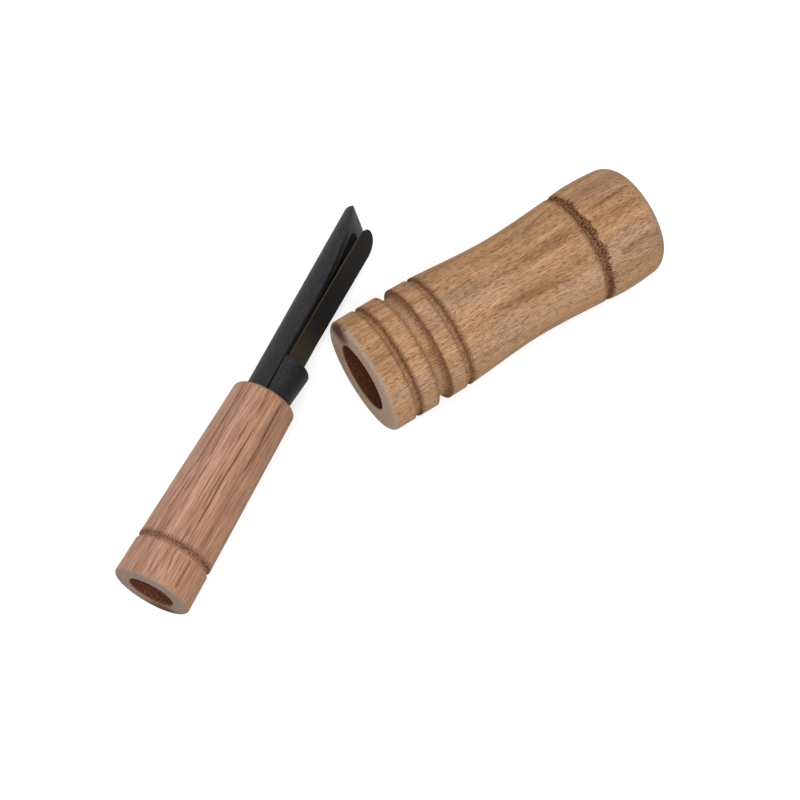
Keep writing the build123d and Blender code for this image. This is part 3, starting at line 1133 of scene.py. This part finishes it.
def bevel_ring(bar, place, radius, segments):
    """Rounds the bar's edge at a place along it."""
    select_only(bar)
    bpy.ops.object.mode_set(mode="EDIT")
    bpy.ops.mesh.select_mode(type="EDGE")
    bpy.ops.mesh.select_all(action="DESELECT")
    bpy.ops.object.mode_set(mode="OBJECT")
    for edge in bar.data.edges:
        ends = [bar.data.vertices[v].co.x for v in edge.vertices]
        edge.select = max(abs(x - place) for x in ends) < SAME_PLACE
    bpy.ops.object.mode_set(mode="EDIT")
    bpy.ops.mesh.bevel(offset=radius, segments=segments, affect="EDGES")
    bpy.ops.object.mode_set(mode="OBJECT")


def slab_from_outline(name, outline, half_width):
    """A solid with the outline in its own X and Z, as wide on both sides of its axis."""
    slab = start_piece(name)
    draw_outline(outline + outline[:1])
    bpy.ops.mesh.select_all(action="SELECT")
    bpy.ops.mesh.remove_doubles(threshold=WELD)
    bpy.ops.mesh.edge_face_add()
    bpy.ops.transform.translate(value=(0, -half_width, 0))
    bpy.ops.mesh.extrude_region_move(TRANSFORM_OT_translate={"value": (0, 2 * half_width, 0)})
    bpy.ops.mesh.select_all(action="SELECT")
    bpy.ops.mesh.normals_make_consistent(inside=False)
    bpy.ops.object.mode_set(mode="OBJECT")
    return slab


def slot_cutter(name, start, end, width, floor, top, floor_round):
    """A cutter for the tone channel, with a round end and a rounded floor."""
    bpy.ops.object.select_all(action="DESELECT")
    bpy.ops.mesh.primitive_cube_add(size=1.0, location=((start + end) / 2, 0, (floor + top) / 2))
    cutter = name_new(name)
    cutter.scale = (end - start, width, top - floor)
    bpy.ops.object.transform_apply(location=True, rotation=True, scale=True)
    for chosen, radius, segments in (("end", 0.499 * width, 12), ("floor", floor_round, 5)):
        for edge in cutter.data.edges:
            a, b = (cutter.data.vertices[v].co for v in edge.vertices)
            if chosen == "end":
                edge.select = min(a.x, b.x) > end - SAME_PLACE and abs(a.z - b.z) > MM
            else:
                edge.select = max(a.z, b.z) < floor + SAME_PLACE and max(a.x, b.x) > start + MM
        bpy.ops.object.mode_set(mode="EDIT")
        bpy.ops.mesh.select_mode(type="EDGE")
        bpy.ops.mesh.bevel(offset=radius, segments=segments, affect="EDGES")
        bpy.ops.mesh.select_all(action="DESELECT")
        bpy.ops.object.mode_set(mode="OBJECT")
    return cutter


class BIRDCALL_OT_tone_board(bpy.types.Operator):
    """Moulds the tone board with its lay and tone channel"""

    bl_idname = "birdcall.tone_board"
    bl_label = "Tone board"

    def execute(self, context):
        sizes = settings("tone_board")
        board = round_bar("tone_board_plastic", sizes.radius, -sizes.heel, sizes.reach, STOCK_SIDES)
        bevel_ring(board, sizes.reach, sizes.tip_round, 6)
        for vertex in board.data.vertices:
            x, _, z = vertex.co
            if x > SAME_PLACE:
                along = x / cos(sizes.lean)
                vertex.co.x = along * cos(sizes.lean) + z * sin(sizes.lean)
                vertex.co.z = z * cos(sizes.lean) - along * sin(sizes.lean)
        above = 2 * sizes.radius
        behind, past = -sizes.heel - MM, sizes.reach + sizes.radius
        lay_break = (sizes.reach - sizes.tip_roll, sizes.lay_height - sizes.lay_drop)
        tip = (sizes.reach, sizes.lay_height - sizes.tip_drop)
        flat = [(behind, sizes.lay_height), (sizes.lay_start, sizes.lay_height)]
        fall, heading = tangent_arc(flat[-1], 0.0, lay_break, 28)
        roll, _ = tangent_arc(lay_break, heading, tip, 14)
        lay = flat + fall + roll
        outline = lay + [(past, tip[1]), (past, above), (behind, above)]
        cut_away(board, slab_from_outline("lay_cutter", outline, above))
        cutter = slot_cutter(
            "channel_cutter",
            behind,
            sizes.reach - sizes.channel_to_tip,
            sizes.channel_width,
            sizes.lay_height - sizes.channel_depth,
            above,
            sizes.channel_round,
        )
        cut_away(board, cutter)
        round_edges(board, sizes.edge_round, MOULDED_EDGE)
        points = positions_of(board)
        rows = np.array(lay)
        above_lay = points[:, 2] - np.interp(points[:, 0], rows[:, 0], rows[:, 1])
        # Painted shade on the lay under the reed, full near the root and fading out towards the tip
        shade_under_reed = 1 - smooth_step(points[:, 0], 0.4 * sizes.reach, 0.75 * sizes.reach)
        mark(board, "lay", shade_under_reed * (np.abs(above_lay) < 0.03 * MM))
        smooth_shade(board, PLASTIC_CREASE)
        put_in_place(board, tone_frame())
        material = plastic_material("tone_board_plastic", settings("plastic_finish"))
        finish_piece(board, material, "tone_board", "black_plastic", "tone_board")
        return {"FINISHED"}


class BIRDCALL_OT_wedge(bpy.types.Operator):
    """Moulds the wedge that clamps the reed"""

    bl_idname = "birdcall.wedge"
    bl_label = "Wedge"

    def execute(self, context):
        sizes = settings("tone_board")
        seat = sizes.lay_height + sizes.reed_thickness + 2 * sizes.reed_seat
        front = sizes.wedge_reach
        wedge = round_bar("wedge_plastic", sizes.radius, -sizes.heel, front, STOCK_SIDES)
        flare = (sizes.radius + sizes.wedge_flare) / sizes.radius
        for vertex in wedge.data.vertices:
            if vertex.co.x > front - SAME_PLACE:
                vertex.co.y *= flare
                vertex.co.z *= flare
        bevel_ring(wedge, front, sizes.wedge_round, 7)
        bpy.ops.object.mode_set(mode="EDIT")
        bpy.ops.mesh.select_all(action="SELECT")
        bpy.ops.mesh.bisect(
            plane_co=(0, 0, seat), plane_no=(0, 0, 1), use_fill=True, clear_inner=True
        )
        bpy.ops.object.mode_set(mode="OBJECT")
        round_edges(wedge, sizes.edge_round, MOULDED_EDGE)
        smooth_shade(wedge, PLASTIC_CREASE)
        put_in_place(wedge, tone_frame())
        mark(wedge, "lay", np.zeros(len(wedge.data.vertices)))
        material = plastic_material("wedge_plastic", settings("plastic_finish"))
        finish_piece(wedge, material, "wedge", "black_plastic", "wedge")
        return {"FINISHED"}


def reed_edge_distance(sizes, points, end):
    """How far each point lies inside the reed's outline, with its rounded corners."""
    along, aside = end - points[:, 0], sizes.reed_width / 2 - np.abs(points[:, 1])
    corner = sizes.reed_round - np.hypot(sizes.reed_round - along, sizes.reed_round - aside)
    in_corner = (along < sizes.reed_round) & (aside < sizes.reed_round)
    return np.where(in_corner, corner, np.minimum(along, aside))


class BIRDCALL_OT_reed(bpy.types.Operator):
    """Cuts the reed from film, as one flat strip over the lay"""

    bl_idname = "birdcall.reed"
    bl_label = "Reed"

    def execute(self, context):
        sizes = settings("tone_board")
        start, end = -sizes.reed_heel, sizes.reach - sizes.reed_to_tip
        underside = sizes.lay_height + sizes.reed_seat
        bpy.ops.object.select_all(action="DESELECT")
        bpy.ops.mesh.primitive_plane_add(size=1.0, location=((start + end) / 2, 0, underside))
        reed = name_new("reed_film")
        reed.scale = (end - start, sizes.reed_width, 1)
        bpy.ops.object.transform_apply(location=True, rotation=True, scale=True)
        for vertex in reed.data.vertices:
            vertex.select = vertex.co.x > end - SAME_PLACE
        bpy.ops.object.mode_set(mode="EDIT")
        bpy.ops.mesh.select_mode(type="VERT")
        bpy.ops.mesh.bevel(offset=sizes.reed_round, segments=14, affect="VERTICES")
        bpy.ops.mesh.select_all(action="SELECT")
        bpy.ops.mesh.inset(thickness=sizes.reed_rim, depth=0)
        for i in range(1, REED_ROWS):
            bpy.ops.mesh.select_all(action="SELECT")
            row = start + (end - start) * i / REED_ROWS
            bpy.ops.mesh.bisect(plane_co=(row, 0, 0), plane_no=(1, 0, 0))
        bpy.ops.object.mode_set(mode="OBJECT")
        thicken = reed.modifiers.new("thickness", "SOLIDIFY")
        thicken.thickness = sizes.reed_thickness
        thicken.offset = 1.0
        apply_modifiers(reed)
        round_edges(reed, sizes.reed_edge, FILM_EDGE)
        points = positions_of(reed)
        inside = reed_edge_distance(sizes, points, end)
        root_end = sizes.wedge_reach + sizes.reed_root
        mark(reed, "root", 1 - smooth_step(points[:, 0], sizes.wedge_reach, root_end))
        mark(reed, "cut_edge", 1 - smooth_step(inside, 0.0, sizes.reed_rim))
        smooth_shade(reed, FILM_EDGE)
        put_in_place(reed, tone_frame())
        reed.data.materials.append(film_material("reed_film", settings("plastic_finish")))
        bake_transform(reed)
        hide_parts("reed_heel", "reed_blade")
        return {"FINISHED"}


# Stage


def floor_material(stage):
    """A pale floor that shows white to the camera and still takes the shadow."""
    material = bpy.data.materials.new("floor")
    material.use_nodes = True
    tree = material.node_tree
    tree.nodes.remove(tree.nodes["Principled BSDF"])
    paint_node = add_node(tree, "ShaderNodeBsdfDiffuse", {"Color": (*stage.floor_paint, 1.0)})
    seen = add_node(tree, "ShaderNodeLightPath").outputs["Is Camera Ray"]
    strength = calculate(tree, "MULTIPLY", seen, stage.floor_glow)
    glow = add_node(tree, "ShaderNodeEmission", {"Strength": strength})
    both = add_node(tree, "ShaderNodeAddShader", {0: paint_node.outputs[0], 1: glow.outputs[0]})
    tree.links.new(both.outputs[0], tree.nodes["Material Output"].inputs["Surface"])
    return material


class BIRDCALL_OT_stage(bpy.types.Operator):
    """Sets the floor, the light and the camera"""

    bl_idname = "birdcall.stage"
    bl_label = "Stage"

    def execute(self, context):
        stage = settings("stage")
        bpy.ops.object.select_all(action="DESELECT")
        bpy.ops.mesh.primitive_plane_add(size=stage.floor_size, location=(0, 0, cad_low.z))
        floor = name_new("floor")
        floor.data.materials.append(floor_material(stage))

        world = bpy.data.worlds.new("even_light")
        context.scene.world = world
        world.use_nodes = True
        tree = world.node_tree
        sky = tree.nodes["Background"]
        seen = add_node(tree, "ShaderNodeLightPath")
        strength = add_node(
            tree,
            "ShaderNodeMapRange",
            {"Value": seen.outputs["Is Camera Ray"], "To Min": stage.sky, "To Max": 1.0},
        )
        sky.inputs["Color"].default_value = (1.0, 1.0, 1.0, 1.0)
        tree.links.new(strength.outputs[0], sky.inputs["Strength"])

        bpy.ops.object.light_add(type="AREA", location=stage.lamp_place)
        lamp = name_new("soft_lamp")
        lamp.data.shape = "DISK"
        lamp.data.size = stage.lamp_size
        lamp.data.energy = stage.lamp
        towards = Vector(stage.aim) - lamp.location
        lamp.rotation_euler = towards.to_track_quat("-Z", "Y").to_euler()

        swing, lift = stage.azimuth, stage.elevation
        back = Vector((sin(swing) * cos(lift), -cos(swing) * cos(lift), sin(lift)))
        bpy.ops.object.camera_add(location=Vector(stage.aim) + back * stage.distance)
        camera = name_new("camera")
        camera.rotation_euler = (-back).to_track_quat("-Z", "Y").to_euler()
        camera.data.sensor_width = stage.film
        camera.data.lens = stage.lens
        camera.data.clip_start = 10 * MM
        context.scene.camera = camera
        context.scene.view_settings.view_transform = "Standard"
        return {"FINISHED"}


class BIRDCALL_PT_panel(bpy.types.Panel):
    """Lists the pieces of the bird call"""

    bl_label = "Bird call"
    bl_space_type = "VIEW_3D"
    bl_region_type = "UI"
    bl_category = "Bird call"

    def draw(self, context):
        for operator in OPERATORS:
            self.layout.operator(operator.bl_idname)


OPERATORS = (
    BIRDCALL_OT_barrel,
    BIRDCALL_OT_insert,
    BIRDCALL_OT_tone_board,
    BIRDCALL_OT_wedge,
    BIRDCALL_OT_reed,
    BIRDCALL_OT_stage,
)
GROUPS = {
    "barrel": BarrelSizes,
    "insert": InsertSizes,
    "tone_board": ToneBoardSizes,
    "barrel_finish": BarrelFinish,
    "insert_finish": InsertFinish,
    "plastic_finish": PlasticFinish,
    "stage": StageSettings,
}


def register():
    """Registers the settings, the operators and the panel."""
    for name, group in GROUPS.items():
        bpy.utils.register_class(group)
        setattr(bpy.types.Scene, "bird_call_" + name, PointerProperty(type=group))
    for operator in OPERATORS:
        bpy.utils.register_class(operator)
    bpy.utils.register_class(BIRDCALL_PT_panel)


def unregister():
    """Takes the panel, the operators and the settings away again."""
    bpy.utils.unregister_class(BIRDCALL_PT_panel)
    for operator in reversed(OPERATORS):
        bpy.utils.unregister_class(operator)
    for name, group in GROUPS.items():
        delattr(bpy.types.Scene, "bird_call_" + name)
        bpy.utils.unregister_class(group)


def main():
    """Builds every piece and the stage."""
    register()
    bpy.ops.birdcall.barrel()
    bpy.ops.birdcall.insert()
    bpy.ops.birdcall.tone_board()
    bpy.ops.birdcall.wedge()
    bpy.ops.birdcall.reed()
    bpy.ops.birdcall.stage()


if __name__ == "__main__":
    main()
